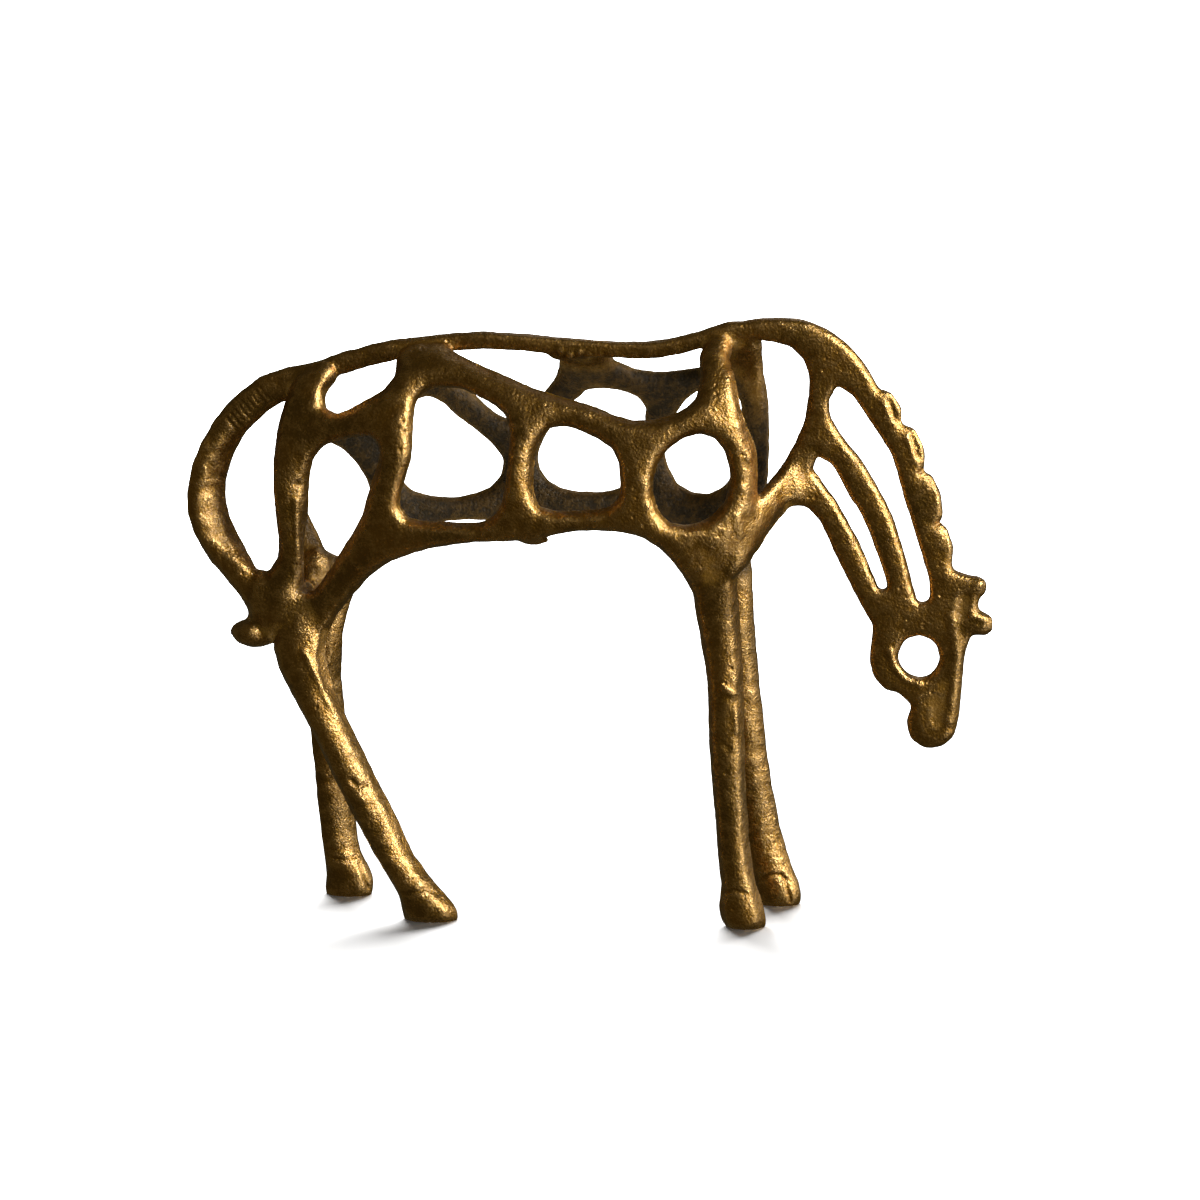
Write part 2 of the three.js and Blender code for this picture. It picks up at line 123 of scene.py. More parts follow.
class Board:
    """A node tree in the making, with short calls for the nodes that the trees here share."""

    FINER_SHARE = 0.55
    NOISE_MEAN = 0.5
    FULL_SWING = 2.0

    def __init__(self, tree: bpy.types.NodeTree) -> None:
        """Starts on an empty tree.

        Args:
            tree: the tree that the nodes are added to.
        """
        self.tree = tree
        tree.nodes.clear()

    def node(self, kind: str, inputs: dict | None = None, **settings: object) -> bpy.types.Node:
        """Adds one node.

        Args:
            kind: the node's type name.
            inputs: values or sockets for its inputs, by name or number.
            settings: properties of the node.

        Returns:
            The new node.
        """
        made = self.tree.nodes.new(kind)
        for name, value in settings.items():
            setattr(made, name, value)
        for name, value in (inputs or {}).items():
            if isinstance(value, bpy.types.NodeSocket):
                self.tree.links.new(value, made.inputs[name])
            else:
                made.inputs[name].default_value = value
        return made

    def math(self, operation: str, first: object, second: object = 0.0) -> bpy.types.NodeSocket:
        """Joins two values by one operation.

        Args:
            operation: the operation's name.
            first: a value or socket.
            second: a value or socket.

        Returns:
            The result's socket.
        """
        return self.node("ShaderNodeMath", {0: first, 1: second}, operation=operation).outputs[0]

    def attribute(self, name: str) -> bpy.types.NodeSocket:
        """Reads a value that the mesh keeps, in a material."""
        return self.node("ShaderNodeAttribute", attribute_name=name).outputs["Fac"]

    def noise(self, place: bpy.types.NodeSocket, grain: float, detail: float) -> bpy.types.NodeSocket:
        """Adds a cloud of noise.

        Args:
            place: the place's socket.
            grain: the size of one swell, in metres.
            detail: how many finer layers it holds.

        Returns:
            The value's socket, near 0.5 on average.
        """
        inputs = {"Vector": place, "Scale": 1.0 / grain, "Detail": detail}
        return self.node("ShaderNodeTexNoise", {**inputs, "Roughness": self.FINER_SHARE}).outputs[0]

    def swing(self, noise: bpy.types.NodeSocket, share: float) -> bpy.types.NodeSocket:
        """Turns a cloud of noise into a swing to both sides of zero.

        Args:
            noise: the noise's socket.
            share: how wide the swing is for a noise from 0 to 1.

        Returns:
            The swing's socket.
        """
        return self.math("MULTIPLY", self.math("SUBTRACT", noise, self.NOISE_MEAN), share)

    def cells(self, place: bpy.types.NodeSocket, grain: float, softness: float) -> bpy.types.NodeSocket:
        """Adds rounded cells, as hammer blows or pits leave them.

        Args:
            place: the place's socket.
            grain: the size of one cell, in metres.
            softness: how softly neighbouring cells meet.

        Returns:
            The socket of the distance to the nearest middle.
        """
        inputs = {"Vector": place, "Scale": 1.0 / grain, "Smoothness": softness}
        return self.node("ShaderNodeTexVoronoi", inputs, feature="SMOOTH_F1").outputs[0]

    def between(
        self, value: object, low: float, high: float, start: float = 0.0, end: float = 1.0
    ) -> bpy.types.NodeSocket:
        """Maps a range smoothly onto another.

        Args:
            value: the value's socket.
            low: where the result is start.
            high: where the result is end.
            start: the result at low and below.
            end: the result at high and above.

        Returns:
            The result's socket.
        """
        inputs = {0: value, 1: low, 2: high, 3: start, 4: end}
        mapped = self.node("ShaderNodeMapRange", inputs, interpolation_type="SMOOTHSTEP", clamp=True)
        return mapped.outputs[0]

    def colours(self, share: object, first: object, second: object) -> bpy.types.NodeSocket:
        """Mixes two colours.

        Args:
            share: the second colour's share.
            first: a colour or socket.
            second: a colour or socket.

        Returns:
            The mixed colour's socket.
        """
        inputs = {0: share, 6: first, 7: second}
        return self.node("ShaderNodeMix", inputs, data_type="RGBA").outputs[2]


def rgba(colour: tuple[float, float, float]) -> tuple[float, float, float, float]:
    """Gives a colour its full alpha."""
    return (*colour, 1.0)


class Skin:
    """The points of a closed mesh with their neighbours, as arrays to smooth and to tool."""

    def __init__(self, mesh: bpy.types.Mesh) -> None:
        """Reads a mesh.

        Args:
            mesh: a mesh with merged points.
        """
        self.mesh = mesh
        count = len(mesh.vertices)
        flat = np.empty(count * 3, np.float32)
        mesh.vertices.foreach_get("co", flat)
        self.points = flat.reshape(-1, 3).astype(np.float64)
        mesh.calc_loop_triangles()
        corners = np.empty(len(mesh.loop_triangles) * 3, np.int32)
        mesh.loop_triangles.foreach_get("vertices", corners)
        self.triangles = corners.reshape(-1, 3)
        ends = np.empty(len(mesh.edges) * 2, np.int32)
        mesh.edges.foreach_get("vertices", ends)
        ends = ends.reshape(-1, 2)
        here = np.concatenate([ends[:, 0], ends[:, 1]])
        there = np.concatenate([ends[:, 1], ends[:, 0]])
        order = np.argsort(here, kind="stable")
        self.neighbours = there[order]
        degree = np.bincount(here, minlength=count)
        self.starts = np.concatenate([[0], np.cumsum(degree)[:-1]])
        self.degree = degree

    def smoothed(self, values: np.ndarray, passes: int, share: float | np.ndarray = 0.5) -> np.ndarray:
        """Evens out a value or a place over the surface.

        Args:
            values: one row for each point.
            passes: how many times each point moves towards its neighbours.
            share: how far it moves each time, for all points or for each.

        Returns:
            The evened values.
        """
        degree = self.degree if values.ndim == 1 else self.degree[:, None]
        if values.ndim == 2 and isinstance(share, np.ndarray):
            share = share[:, None]
        for _ in range(passes):
            mean = np.add.reduceat(values[self.neighbours], self.starts, axis=0) / degree
            values = values + share * (mean - values)
        return values

    def normals(self) -> np.ndarray:
        """Works out the outward direction at each point.

        Returns:
            One unit vector for each point.
        """
        first, second, third = (self.points[self.triangles[:, corner]] for corner in range(3))
        faces = np.cross(second - first, third - first)
        count = len(self.points)
        sums = np.zeros((count, 3))
        for corner in range(3):
            for axis in range(3):
                sums[:, axis] += np.bincount(self.triangles[:, corner], faces[:, axis], count)
        return sums / np.maximum(np.linalg.norm(sums, axis=1, keepdims=True), TINY)

    def depth(self, passes: int) -> np.ndarray:
        """Measures how deep each point lies under its evened-out place.

        Args:
            passes: how many times the surface is evened, so how broad the forms are that count.

        Returns:
            One length for each point: above zero in a hollow, below zero on a crest.
        """
        return np.einsum("ij,ij->i", self.smoothed(self.points, passes) - self.points, self.normals())

    def store(self) -> None:
        """Writes the points back to the mesh."""
        self.mesh.vertices.foreach_set("co", self.points.astype(np.float32).ravel())
        self.mesh.update()

    def store_value(self, name: str, values: np.ndarray) -> None:
        """Keeps a value for each point on the mesh, for the material to read.

        Args:
            name: the attribute's name.
            values: one number for each point.
        """
        layer = self.mesh.attributes.new(name, "FLOAT", "POINT")
        layer.data.foreach_set("value", values.astype(np.float32))


def ramp(values: np.ndarray, low: float, high: float) -> np.ndarray:
    """Rises smoothly from 0 at low to 1 at high."""
    share = np.clip((values - low) / (high - low), 0.0, 1.0)
    return share * share * (3.0 - 2.0 * share)


def spread(
    start: tuple[float, float], run: tuple[float, float], count: int
) -> list[tuple[float, float]]:
    """Spaces points evenly along a straight line.

    Args:
        start: the first point.
        run: the way from the first point to the last.
        count: how many points.

    Returns:
        The points.
    """
    shares = [step / (count - 1) for step in range(count)]
    return [(start[0] + run[0] * share, start[1] + run[1] * share) for share in shares]


def settled(made: bpy.types.Object) -> bpy.types.Mesh:
    """Turns an object's live modifiers into a plain mesh on that object.

    Args:
        made: the object, with its modifiers.

    Returns:
        The new mesh, which the object holds without any modifier.
    """
    graph = bpy.context.evaluated_depsgraph_get()
    graph.update()
    mesh = bpy.data.meshes.new_from_object(made.evaluated_get(graph))
    made.modifiers.clear()
    old = made.data
    made.data = mesh
    bpy.data.meshes.remove(old)
    return mesh


@dataclass(frozen=True)
class AntiqueBrass:
    """Cast brass with a dark brown patina, rubbed back to gold where hands and cloths reach, darker still in
    its hollows, and with painted shade on the inner faces of its walls.

    A range holds the values between which something sets in. A range of the hollows' patina or of the inner
    faces' painted shade also holds how much of it there is at its low and at its high end.
    """

    gold: tuple[float, float, float] = (0.92, 0.55, 0.17)
    brown: tuple[float, float, float] = (0.54, 0.271, 0.033)
    dark: tuple[float, float, float] = (0.32, 0.170, 0.022)
    # Near-black: real patina in the hollows, and painted shade on the walls' inner faces.
    grime_and_shade: tuple[float, float, float] = (0.030, 0.022, 0.010)
    sand_grain: float = 1.0 * MM
    casting_grain: float = 3.0 * MM
    sand_share: float = 0.65
    grain_detail: float = 3.0
    blotch: float = 24.0 * MM
    blotch_detail: float = 4.0
    blotch_share: float = 0.20
    crest_share: float = 0.10
    rubbed_range: tuple[float, float] = (0.36, 0.80)
    # Less rub on the walls' inner faces: partly unrubbed cast skin, partly painted shade.
    rubbed_less_in_shaded_inside: float = 0.8
    brown_range: tuple[float, float] = (0.30, 0.66)
    hollow_dirt: tuple[float, float, float, float] = (0.46, 0.66, 0.55, 0.2)
    # The walls' inner faces turn near-black: painted shade, with some unrubbed cast skin.
    inside_dirt_and_shade: tuple[float, float, float, float] = (0.38, 0.64, 0.98, 0.84)
    metal_less_in_dirt_and_shade: float = 0.5
    rubbed_roughness: float = 0.26
    patina_roughness: float = 0.37
    grime_and_shade_roughness: float = 0.55
    bump_height: float = 1.1 * MM
    bump_strength: float = 0.55
    bump_more_inside: float = 0.4
    pit_spacing: float = 4.2 * MM
    pit_softness: float = 0.2
    pit_radius: float = 0.28
    pit_depth: float = 0.3
    pitted_range: tuple[float, float] = (0.5, 0.62)
    wax: float = 1.0
    wax_less_in_dirt_and_shade: float = 0.8
    wax_density: float = 1.6
    wax_roughness: float = 0.12

    def make(self) -> bpy.types.Material:
        """Builds the material.

        Returns:
            The material, which reads the attributes "crest", "hollow" and "inside" of the casting.
        """
        material = bpy.data.materials.new(SLOT)
        material.use_nodes = True
        board = Board(material.node_tree)
        place = board.node("ShaderNodeTexCoord").outputs["Object"]
        crest = board.attribute("crest")
        hollow = board.attribute("hollow")
        shaded_inside = board.attribute("shaded_inside")
        blotches = board.noise(place, self.blotch, self.blotch_detail)

        sand = board.noise(place, self.sand_grain, self.grain_detail)
        coarse = board.noise(place, self.casting_grain, self.grain_detail)
        sand = board.math("MULTIPLY", sand, self.sand_share)
        coarse = board.math("MULTIPLY", coarse, 1.0 - self.sand_share)
        grain = board.math("ADD", sand, coarse)

        raised = board.math("ADD", grain, board.math("MULTIPLY", crest, self.crest_share))
        worn = board.math("ADD", raised, board.swing(blotches, self.blotch_share))
        # The walls' inner faces keep less rub, partly as unrubbed cast skin and partly as painted shade.
        outside = board.math("SUBTRACT", 1.0, board.math("MULTIPLY", shaded_inside, self.rubbed_less_in_shaded_inside))
        rubbed = board.math("MULTIPLY", board.between(worn, *self.rubbed_range), outside)
        caught = board.math("MULTIPLY", hollow, board.between(grain, *self.hollow_dirt))
        # Painted shade on the walls' inner faces, where the walls shade each other, with some real unrubbed
        # skin.
        inner_dirt_and_shade = board.math("MULTIPLY", shaded_inside, board.between(worn, *self.inside_dirt_and_shade))
        dirt_and_shade = board.math("MAXIMUM", caught, inner_dirt_and_shade)

        browned = board.between(blotches, *self.brown_range)
        patina = board.colours(browned, rgba(self.dark), rgba(self.brown))
        metal = board.colours(rubbed, patina, rgba(self.gold))
        # Near-black mix: real patina in the hollows, painted shade on the walls' inner faces.
        colour = board.colours(dirt_and_shade, metal, rgba(self.grime_and_shade))

        smoother = board.math("MULTIPLY", rubbed, self.rubbed_roughness - self.patina_roughness)
        rougher = board.math("MULTIPLY", dirt_and_shade, self.grime_and_shade_roughness - self.patina_roughness)
        roughness = board.math("ADD", board.math("ADD", smoother, self.patina_roughness), rougher)

        # Less metal and wax where the hollows' patina and the painted shade lie, so both stay dark.
        dulled_by_dirt_and_shade = board.math("MULTIPLY", dirt_and_shade, self.metal_less_in_dirt_and_shade)
        dried_by_dirt_and_shade = board.math("MULTIPLY", dirt_and_shade, self.wax_less_in_dirt_and_shade)
        normal = self.bumps(board, place, grain, shaded_inside, blotches)
        shader = board.node("ShaderNodeBsdfPrincipled", {
            "Base Color": colour,
            "Metallic": board.math("SUBTRACT", 1.0, dulled_by_dirt_and_shade),
            "Roughness": roughness,
            "Normal": normal,
            "Coat Weight": board.math("SUBTRACT", self.wax, dried_by_dirt_and_shade),
            "Coat Roughness": self.wax_roughness,
            "Coat IOR": self.wax_density,
            "Coat Normal": normal,
        })
        board.node("ShaderNodeOutputMaterial", {"Surface": shader.outputs[0]})
        return material

    def bumps(
        self,
        board: Board,
        place: bpy.types.NodeSocket,
        grain: bpy.types.NodeSocket,
        shaded_inside: bpy.types.NodeSocket,
        blotches: bpy.types.NodeSocket,
    ) -> bpy.types.NodeSocket:
        """Raises the grain and sinks the pits.

        Args:
            board: the material's tree.
            place: the place on the casting.
            grain: the height of the sand's grain.
            shaded_inside: how much a point belongs to an inner face, where the grain is coarser.
            blotches: the clouds of the patina, some of which are pitted.

        Returns:
            The socket of the bumped normal.
        """
        coarser = board.math("MULTIPLY", shaded_inside, self.bump_more_inside)
        strength = board.math("ADD", self.bump_strength, coarser)
        pits = board.cells(place, self.pit_spacing, self.pit_softness)
        sunk = board.between(pits, 0.0, self.pit_radius, 1.0, 0.0)
        pitted = board.math("MULTIPLY", sunk, board.between(blotches, *self.pitted_range))
        height = board.math("MULTIPLY", grain, strength)
        height = board.math("SUBTRACT", height, board.math("MULTIPLY", pitted, self.pit_depth))
        inputs = {"Height": height, "Distance": self.bump_height, "Strength": 1.0}
        return board.node("ShaderNodeBump", inputs).outputs["Normal"]


@dataclass
class CastRelief:
    """The undulating, lightly hammered skin of the casting, made by Geometry Nodes."""

    lump_height: float = 0.45 * MM
    lump_spacing: float = 13.0 * MM
    dent_height: float = 0.20 * MM
    dent_spacing: float = 4.6 * MM
    dent_softness: float = 0.6
    grain_height: float = 0.11 * MM
    grain_spacing: float = 1.9 * MM
    seed: int = 5

    def sizes(self) -> dict[str, float]:
        """Gives the sizes of its three forms by the names of the tree's inputs."""
        return {
            "Lump height": self.lump_height,
            "Lump spacing": self.lump_spacing,
            "Dent height": self.dent_height,
            "Dent spacing": self.dent_spacing,
            "Grain height": self.grain_height,
            "Grain spacing": self.grain_spacing,
        }

    def tree(self) -> bpy.types.NodeTree:
        """Builds the tree, which moves each point along its normal.

        Returns:
            The tree, with named inputs for its sizes, seed and finish.
        """
        tree = bpy.data.node_groups.new("cast_relief", "GeometryNodeTree")
        board = Board(tree)
        face = tree.interface
        face.new_socket("Geometry", in_out="INPUT", socket_type="NodeSocketGeometry")
        for name in self.sizes():
            face.new_socket(name, in_out="INPUT", socket_type="NodeSocketFloat")
        face.new_socket("Seed", in_out="INPUT", socket_type="NodeSocketInt")
        face.new_socket("Finish", in_out="INPUT", socket_type="NodeSocketMaterial")
        face.new_socket("Geometry", in_out="OUTPUT", socket_type="NodeSocketGeometry")
        given = board.node("NodeGroupInput").outputs
        seed = given["Seed"]
        away = board.node("ShaderNodeCombineXYZ", {0: seed, 1: seed, 2: seed}).outputs[0]
        position = board.node("GeometryNodeInputPosition").outputs[0]
        place = board.node("ShaderNodeVectorMath", {0: position, 1: away}, operation="ADD").outputs[0]

        heights = []
        for form in ("Lump", "Dent", "Grain"):
            inputs = {"Vector": place, "Scale": board.math("DIVIDE", 1.0, given[f"{form} spacing"])}
            if form == "Dent":
                inputs["Smoothness"] = self.dent_softness
                texture = board.node("ShaderNodeTexVoronoi", inputs, feature="SMOOTH_F1")
            else:
                texture = board.node("ShaderNodeTexNoise", inputs)
            swing = board.swing(texture.outputs[0], board.FULL_SWING)
            heights.append(board.math("MULTIPLY", swing, given[f"{form} height"]))
        total = board.math("ADD", board.math("ADD", heights[0], heights[1]), heights[2])
        worked = board.node("GeometryNodeInputNamedAttribute", {"Name": "worked"}, data_type="FLOAT")
        total = board.math("MULTIPLY", total, worked.outputs[0])

        normal = board.node("GeometryNodeInputNormal").outputs[0]
        offset = board.node("ShaderNodeVectorMath", {0: normal, "Scale": total}, operation="SCALE")
        inputs = {"Geometry": given["Geometry"], "Offset": offset.outputs[0]}
        moved = board.node("GeometryNodeSetPosition", inputs).outputs[0]
        real = board.node("GeometryNodeRealizeInstances", {0: moved}).outputs[0]
        finished = board.node("GeometryNodeSetMaterial", {0: real, "Material": given["Finish"]})
        board.node("NodeGroupOutput", {0: finished.outputs[0]})
        return tree

    def apply(self, casting: bpy.types.Object, finish: bpy.types.Material) -> bpy.types.Mesh:
        """Works the relief into an object's mesh.

        Args:
            casting: the object.
            finish: its material.

        Returns:
            The new mesh.
        """
        values = {**self.sizes(), "Seed": self.seed, "Finish": finish}
        modifier = casting.modifiers.new("relief", "NODES")
        modifier.node_group = self.tree()
        for socket in modifier.node_group.interface.items_tree:
            if socket.in_out == "INPUT" and socket.name in values:
                modifier[socket.identifier] = values[socket.name]
        return settled(casting)


@dataclass
class Tooling:
    """The marks cut and raised by hand on the casting, in millimetres.

    Attributes:
        wall_start: how far from the middle plane the walls and legs start.
        middle_reach: how far from the middle plane the marks of the tail, neck and head reach.
        fall_off: the power by which a mark falls off towards its rim.
        facing_gain: how soon a face that turns towards the mark's side takes all of it.
        ripples: how many ripples the root of the tail has.
        seam_beads: how many beads the casting seam has.
        marks: the marks made so far.
    """

    wall_start: float = 3.0
    middle_reach: float = 9.0
    fall_off: float = 2.0
    facing_gain: float = 1.6
    ripples: int = 9
    seam_beads: int = 12
    marks: list[Mark] = field(default_factory=list)

    def add(
        self,
        *line: tuple[float, float],
        half_width: float,
        height: float,
        walls: tuple[Wall, ...] = (Wall.NEAR_OUTSIDE,),
    ) -> None:
        """Adds one mark on one or more walls.

        Args:
            line: its points (x, z).
            half_width: how far it reaches on each side of its line.
            height: how far it rises, or sinks below zero.
            walls: the faces that it lies on.
        """
        for wall in walls:
            self.marks.append(Mark(tuple(line), half_width, height, wall))

    def mark_all(self) -> None:
        """Marks the whole casting, region by region."""
        self.mane()
        self.head()
        self.hind_legs()
        self.fore_legs()
        self.tail()
        self.body()

    def mane(self) -> None:
        """Cuts the loops of the two upper locks and the steps of the two lower ones."""
        self.add((118.4, 209.6), (119.7, 206.0), (120.6, 202.6),
                 half_width=2.2, height=-1.0, walls=BOTH_SIDES)
        self.add((117.0, 213.0), (120.8, 211.0), (122.6, 206.4), (123.8, 201.6),
                 half_width=2.2, height=0.4, walls=BOTH_SIDES)
        self.add((116.2, 209.0), (117.9, 205.6), (119.4, 201.6),
                 half_width=2.2, height=0.3, walls=BOTH_SIDES)
        self.add((127.5, 195.6), (128.8, 192.2), (129.9, 188.3),
                 half_width=2.2, height=-1.0, walls=BOTH_SIDES)
        self.add((127.6, 199.0), (130.2, 195.6), (131.8, 190.4), (132.8, 185.8),
                 half_width=2.2, height=0.4, walls=BOTH_SIDES)
        self.add((125.6, 195.6), (127.2, 191.0), (128.6, 186.4),
                 half_width=2.2, height=0.3, walls=BOTH_SIDES)
        self.add((130.4, 181.6), (132.8, 183.0), (135.4, 181.8),
                 half_width=1.4, height=-0.8, walls=BOTH_SIDES)
        self.add((135.6, 180.0), (137.6, 172.0), (138.6, 164.6),
                 half_width=1.7, height=0.4, walls=BOTH_SIDES)
        self.add((137.0, 160.6), (139.4, 161.8), (141.4, 160.6),
                 half_width=1.4, height=-0.8, walls=BOTH_SIDES)
        self.add((141.2, 158.6), (143.0, 150.0), (143.8, 143.6),
                 half_width=1.7, height=0.4, walls=BOTH_SIDES)

    def head(self) -> None:
        """Raises the band down the face, the muzzle's lip, the eye's rim and the ears, and sinks hollows."""
        self.add((148.4, 131.0), (147.8, 125.6), half_width=3.6, height=-1.1, walls=BOTH_SIDES)
        self.add((148.0, 131.4), half_width=1.3, height=-0.6, walls=BOTH_SIDES)
        self.add((143.4, 124.0), (145.2, 116.0), (145.9, 109.0), (145.2, 101.0),
                 (144.4, 90.0), (143.4, 82.0), half_width=3.2, height=0.7, walls=BOTH_SIDES)
        self.add((137.8, 90.0), (138.4, 82.0), half_width=3.4, height=-0.6, walls=BOTH_SIDES)
        self.add((131.8, 91.0), (131.6, 82.0), (134.0, 76.0), (139.0, 74.2), (142.6, 77.0),
                 half_width=2.2, height=0.3, walls=BOTH_SIDES)
        self.add((119.4, 110.0), (121.4, 103.6), (126.0, 98.6), (131.4, 96.6),
                 half_width=2.2, height=0.7, walls=BOTH_SIDES)
        self.add((124.6, 123.0), half_width=1.0, height=-0.5, walls=BOTH_SIDES)
        self.add((151.6, 134.8), (154.8, 137.6), half_width=2.0, height=0.5, walls=BOTH_SIDES)
        self.add((151.8, 124.6), (156.4, 123.6), half_width=2.0, height=0.5, walls=BOTH_SIDES)

    def hind_legs(self) -> None:
        """Marks the ridge, the gutter, the scar and the hooves of the hind legs."""
        outsides = (Wall.NEAR_OUTSIDE, Wall.FAR_OUTSIDE)
        far_leg = (Wall.FAR_INSIDE, Wall.FAR_OUTSIDE)
        self.add((-112.0, 109.0), (-105.7, 96.0), (-98.6, 82.0), half_width=2.2, height=0.6)
        self.add((-104.4, 116.0), (-106.0, 106.0), (-103.0, 94.0), half_width=1.8, height=-0.9)
        self.add((-93.4, 57.6), (-90.4, 54.6), (-87.2, 55.6), half_width=1.3, height=-0.8)
        self.add((-91.4, 51.6), (-88.6, 49.6), half_width=2.6, height=0.5)
        self.add((-85.2, 39.5), half_width=1.0, height=-0.6)
        self.add((-72.0, 12.2), (-67.0, 12.8), (-63.6, 14.2), (-58.6, 11.0),
                 half_width=1.2, height=-0.6, walls=outsides)
        self.add((-105.6, 16.2), (-101.0, 15.4), (-97.0, 16.4),
                 half_width=1.1, height=-0.6, walls=far_leg)
        self.add((-95.4, 13.6), (-93.4, 8.0), (-91.6, 3.0), half_width=1.1, height=-0.6, walls=far_leg)

    def fore_legs(self) -> None:
        """Marks the knees, the casting seam and the hooves of the fore legs."""
        self.add((54.6, 98.0), (58.4, 95.4), half_width=2.4, height=0.75)
        self.add((57.8, 105.6), half_width=1.4, height=-0.7)
        self.add((59.4, 89.0), (60.4, 80.0), half_width=1.8, height=0.5)
        self.add((55.0, 75.0), (57.2, 73.4), half_width=1.8, height=-0.5)
        self.add((56.2, 63.4), half_width=1.9, height=-0.5)
        self.add((54.0, 14.4), (59.4, 16.6), (64.4, 15.2), half_width=1.3, height=-0.5)
        inner = (Wall.FAR_INSIDE,)
        self.add((68.6, 11.4), (71.6, 13.2), (76.0, 13.4), (79.0, 11.0),
                 half_width=1.2, height=-0.8, walls=inner)
        self.add((77.8, 11.6), (79.4, 6.0), (80.4, 2.0), half_width=1.0, height=-0.6, walls=inner)
        for bead in spread((67.4, 73.0), (10.2, -59.0), self.seam_beads):
            self.add(bead, half_width=1.1, height=0.34, walls=inner)

    def tail(self) -> None:
        """Files ripples across the tail's root and a groove along it, flattens its bend, swells its tip."""
        for x, z in spread((-142.0, 197.5), (13.0, 12.5), self.ripples):
            self.add((x - 1.6, z + 2.0), (x + 1.6, z - 2.0),
                     half_width=1.2, height=-0.45, walls=BOTH_SIDES)
        self.add((-134.4, 114.4), half_width=5.5, height=1.5)
        self.add((-134.8, 199.6), (-128.6, 205.6), half_width=1.6, height=-0.5, walls=BOTH_SIDES)
        self.add((-150.6, 181.0), (-149.4, 172.0), half_width=2.6, height=-0.55, walls=BOTH_SIDES)
        self.add((-146.0, 150.0), (-139.6, 139.0), half_width=2.6, height=-0.4, walls=BOTH_SIDES)

    def body(self) -> None:
        """Marks the posts of the near wall, the knots under the spine and the nub of the belly."""
        self.add((-113.6, 175.8), half_width=2.4, height=-0.9)
        self.add((-114.6, 169.4), (-114.9, 165.6), half_width=1.8, height=0.6)
        self.add((-114.9, 163.0), (-114.6, 148.0), (-113.4, 131.0), half_width=1.5, height=0.6)
        self.add((-70.8, 203.0), half_width=1.1, height=-0.6)
        self.add((-69.9, 199.0), half_width=1.3, height=-0.7)
        self.add((-71.7, 192.0), half_width=1.2, height=-0.6)
        self.add((56.6, 221.6), half_width=3.0, height=0.9)
        self.add((61.4, 203.6), half_width=3.2, height=0.8)
        self.add((63.4, 197.0), half_width=1.8, height=-0.6)
        self.add((64.6, 190.4), half_width=2.8, height=0.8)
        self.add((62.0, 178.6), half_width=2.6, height=0.5)
        self.add((60.0, 168.0), (61.6, 160.0), half_width=2.4, height=0.6)
        self.add((-15.6, 159.6), (-14.0, 155.0), half_width=1.0, height=-0.7)
        for knot in ((-11.2, 228.0), (-7.4, 226.4), (-3.6, 227.4), (-0.6, 225.8)):
            self.add(knot, half_width=2.0, height=0.6, walls=(Wall.MIDDLE_NEAR,))

    def work(self, skin: Skin) -> None:
        """Moves the skin's points along their normals by all the marks.

        Args:
            skin: the casting's points.
        """
        normals = skin.normals()
        places = skin.points / MM
        raised = np.zeros(len(places))
        for mark in self.marks:
            half, facing = mark.wall.value
            line = np.array(mark.line)
            low = line.min(axis=0) - mark.half_width
            high = line.max(axis=0) + mark.half_width
            flat = places[:, [0, 2]]
            near = np.all((flat > low) & (flat < high), axis=1)
            across = places[:, 1]
            near &= across * half > self.wall_start if half else np.abs(across) < self.middle_reach
            chosen = np.flatnonzero(near)
            away = np.full(len(chosen), np.inf)
            if len(line) == 1:
                line = np.repeat(line, 2, axis=0)
            for start, end in zip(line[:-1], line[1:]):
                along = end - start
                reach = max(along @ along, TINY)
                share = np.clip((flat[chosen] - start) @ along / reach, 0.0, 1.0)
                gap = flat[chosen] - start - share[:, None] * along
                away = np.minimum(away, np.hypot(gap[:, 0], gap[:, 1]))
            closeness = np.clip(1.0 - (away / mark.half_width) ** 2, 0.0, 1.0) ** self.fall_off
            turned = np.clip(normals[chosen, 1] * facing * self.facing_gain, 0.0, 1.0)
            raised[chosen] += mark.height * closeness * turned
        skin.points += normals * raised[:, None] * MM


